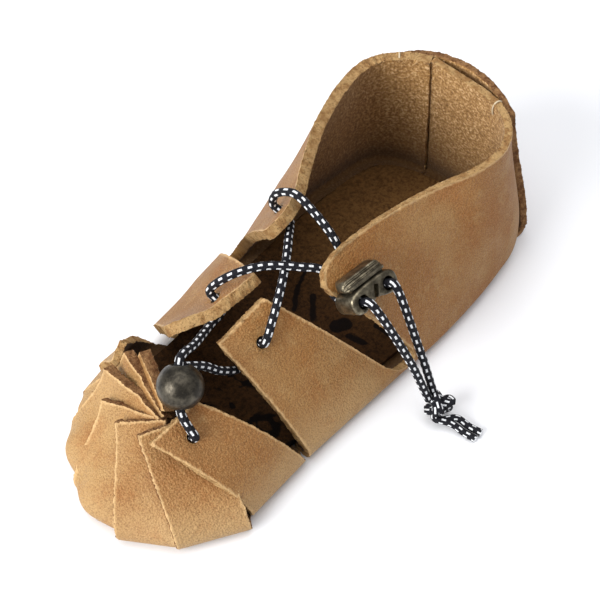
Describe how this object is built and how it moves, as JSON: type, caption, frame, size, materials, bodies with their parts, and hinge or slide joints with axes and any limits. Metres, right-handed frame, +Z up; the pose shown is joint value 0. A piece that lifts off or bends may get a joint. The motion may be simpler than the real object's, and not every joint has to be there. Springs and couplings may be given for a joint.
{
  "type": "leather sandal",
  "caption": "Child's left sandal folded from one hide: toe fingers gathered under a bead, instep wings, wrapped heel quarters and a corded lace with a sprung lock.",
  "frame": {"origin": "on the floor under the middle of the shoe's length and width", "axes": "+Z up, toe towards -Y, heel towards +Y, outer side of the left foot towards +X"},
  "size_m": [0.0936, 0.1628, 0.0522],
  "materials": {
    "hide": "oiled honey-tan grain, suede flesh side",
    "footbed": "spotted brown suede",
    "bead_metal": "dark antique bronze patina",
    "lock_metal": "dark antique brass",
    "cord": "black braid with white flecks"
  },
  "bodies": {
    "root": {"sole": "hide", "insole": "footbed", "upper": "hide", "bead": "bead_metal", "cord_lock_body": "lock_metal", "cord_lock_button": "lock_metal", "lace_front": "cord", "lace_crossing": "cord", "lace_rear": "cord", "lace_end_front": "cord", "lace_end_rear": "cord", "lace_knot": "cord", "lace_tail_front": "cord", "lace_tail_rear": "cord"}
  },
  "joints": []
}
